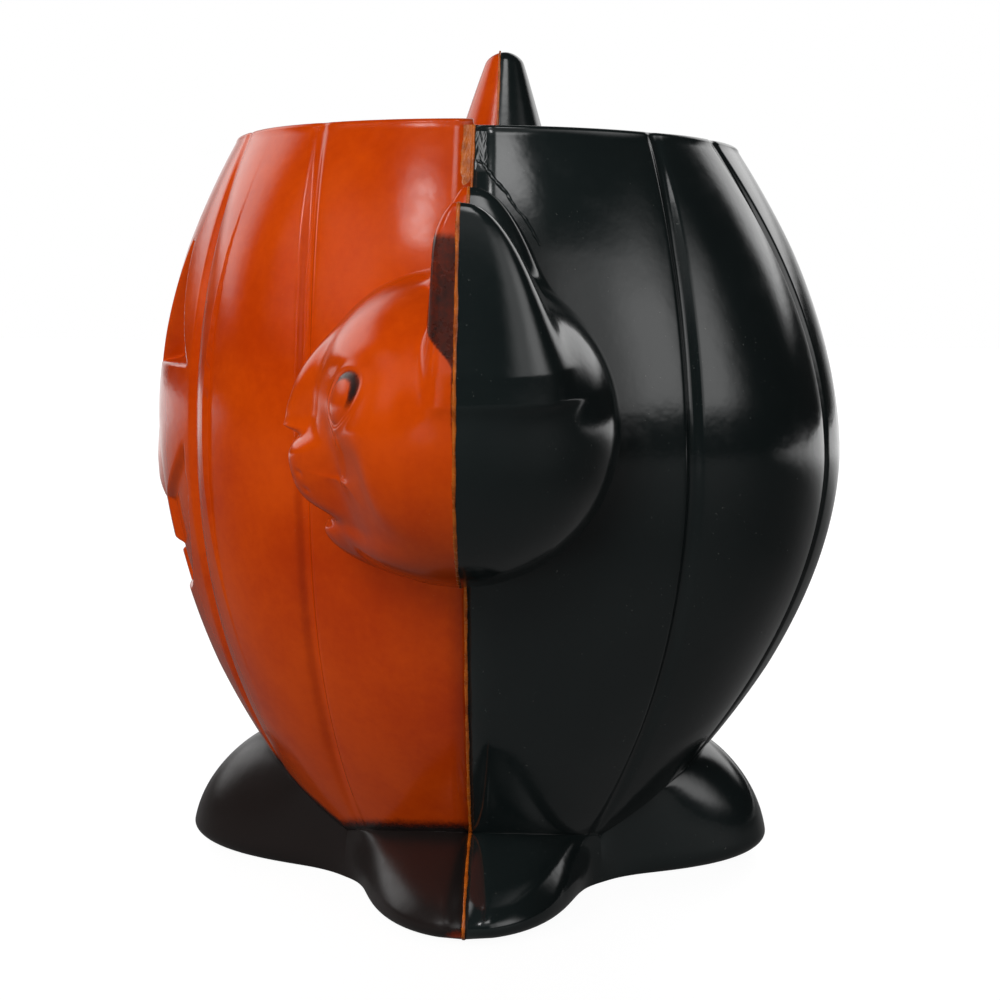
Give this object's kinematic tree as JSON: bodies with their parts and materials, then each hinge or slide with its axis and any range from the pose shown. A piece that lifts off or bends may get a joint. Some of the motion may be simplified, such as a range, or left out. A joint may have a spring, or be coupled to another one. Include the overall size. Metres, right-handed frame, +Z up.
{
  "type": "candy container",
  "caption": "Open pumpkin-shaped candy cup on leaf feet, orange in front and black behind, with a cat's head on one side and a pointed-hat witch's head on the other.",
  "frame": {"origin": "middle of the object's width and depth, on the surface that its leaf feet stand on", "axes": "+Z up; -Y out of the pumpkin's face, so the orange half is at -Y and the black half at +Y; +X towards the cat's head and -X towards the witch's"},
  "size_m": [0.1393, 0.0918, 0.1152],
  "materials": {
    "orange_polystyrene": "glossy injection-moulded polystyrene, with sprayed black paint on its leaves",
    "black_polystyrene": "glossy injection-moulded polystyrene"
  },
  "bodies": {
    "root": {"front_half": "orange_polystyrene", "rear_half": "black_polystyrene"}
  },
  "joints": []
}
